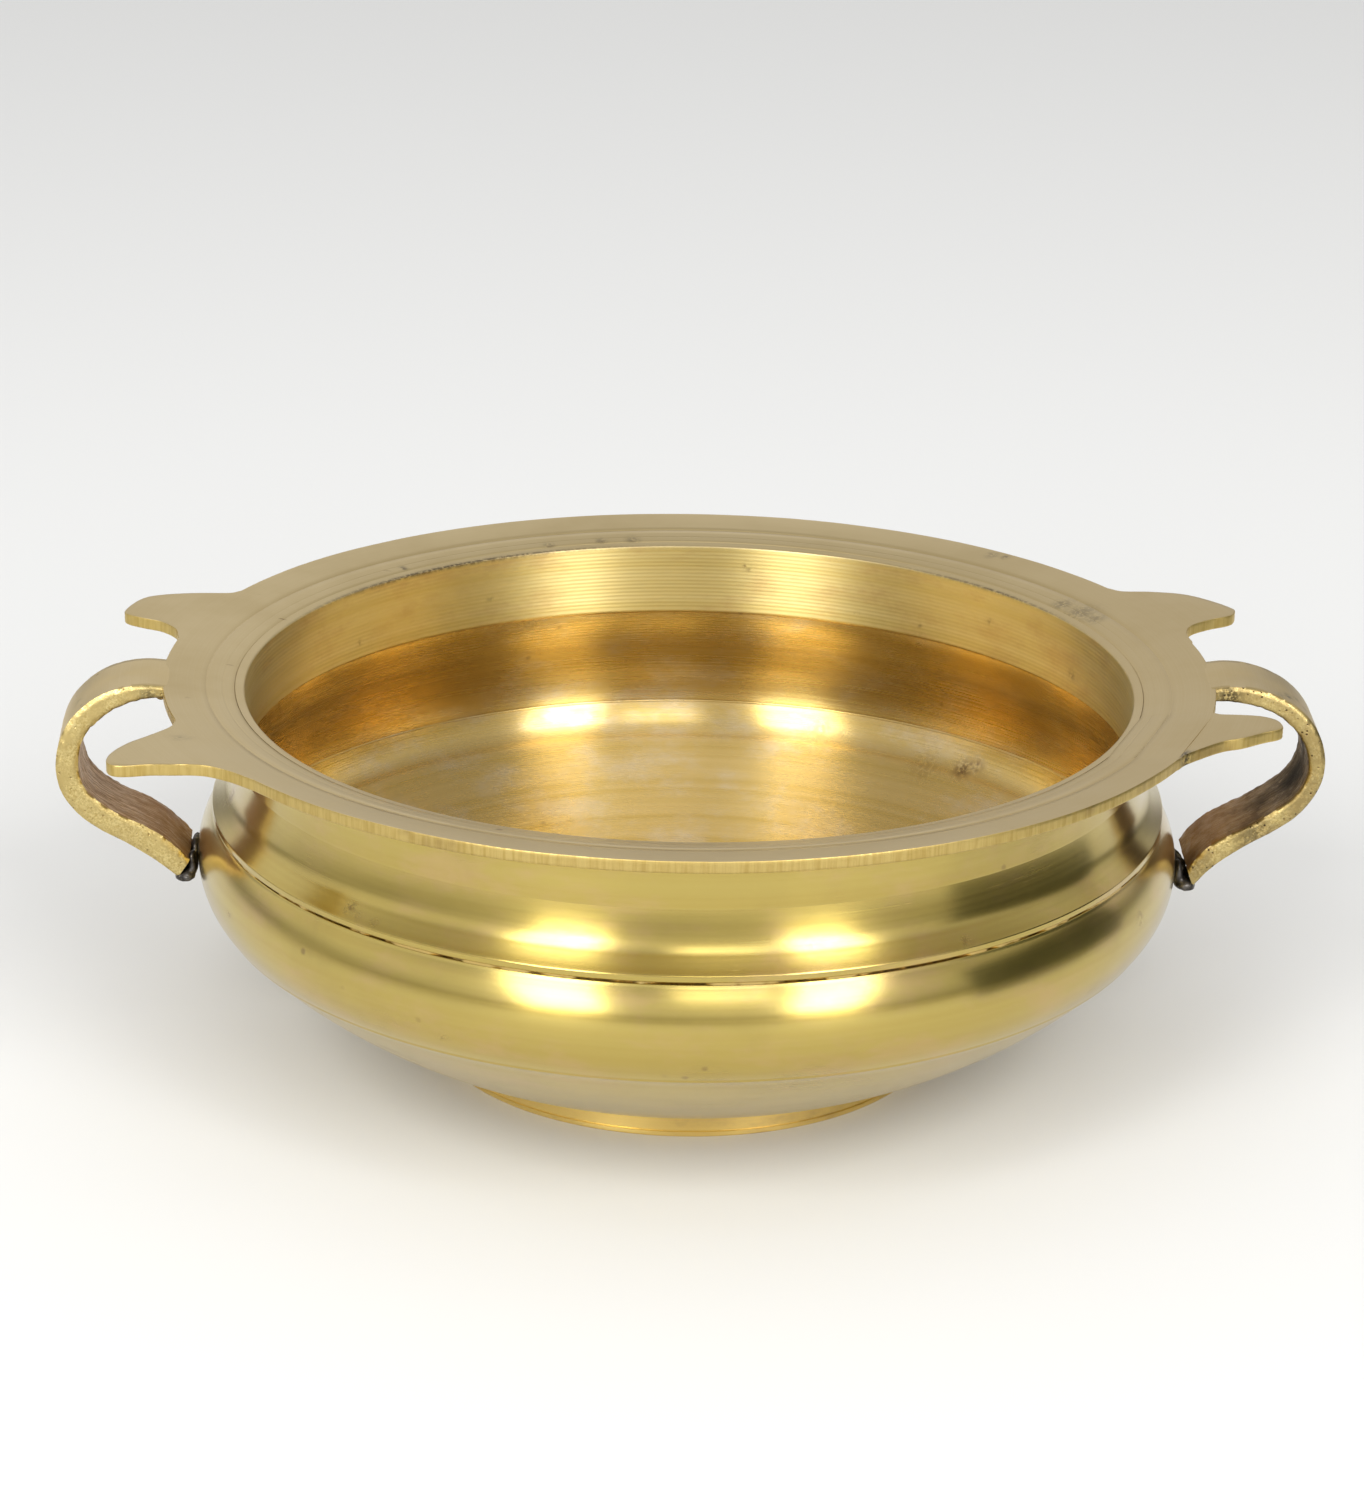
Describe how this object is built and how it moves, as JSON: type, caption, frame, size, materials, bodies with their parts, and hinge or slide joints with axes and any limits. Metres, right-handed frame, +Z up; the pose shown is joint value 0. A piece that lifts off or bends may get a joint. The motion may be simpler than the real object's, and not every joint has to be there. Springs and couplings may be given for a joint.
{
  "type": "urli bowl",
  "caption": "Wide low brass bowl with a dished rim plate, pointed rim lugs, bent strap handles and a short foot ring.",
  "frame": {"origin": "on the bowl's axis, in the plane that the foot ring stands on", "axes": "+Z up along the bowl's axis; +X along the handles, towards the larger strap; the straps lean 3 degrees towards -Y"},
  "size_m": [0.309, 0.2552, 0.0977],
  "materials": {
    "body_brass": "turned satin, fine circular tool lines",
    "plate_brass": "satin, pale, scratched from use",
    "foot_brass": "turned satin, warmer",
    "strap_brass": "hammered and filed, pitted as-cast edges",
    "braze_metal": "dull, tarnished",
    "scaled_braze": "rough, dark grey fire scale"
  },
  "bodies": {
    "root": {"belly_shell": "body_brass", "neck_collar": "body_brass", "rim_plate": "plate_brass", "foot_ring": "foot_brass", "strap_handle_left": "strap_brass", "strap_handle_right": "strap_brass", "strap_braze_left": "scaled_braze", "strap_braze_right": "scaled_braze", "root_braze_left": "braze_metal", "root_braze_right": "braze_metal", "seam_braze": "braze_metal", "rim_braze": "braze_metal", "foot_braze": "braze_metal"}
  },
  "joints": []
}
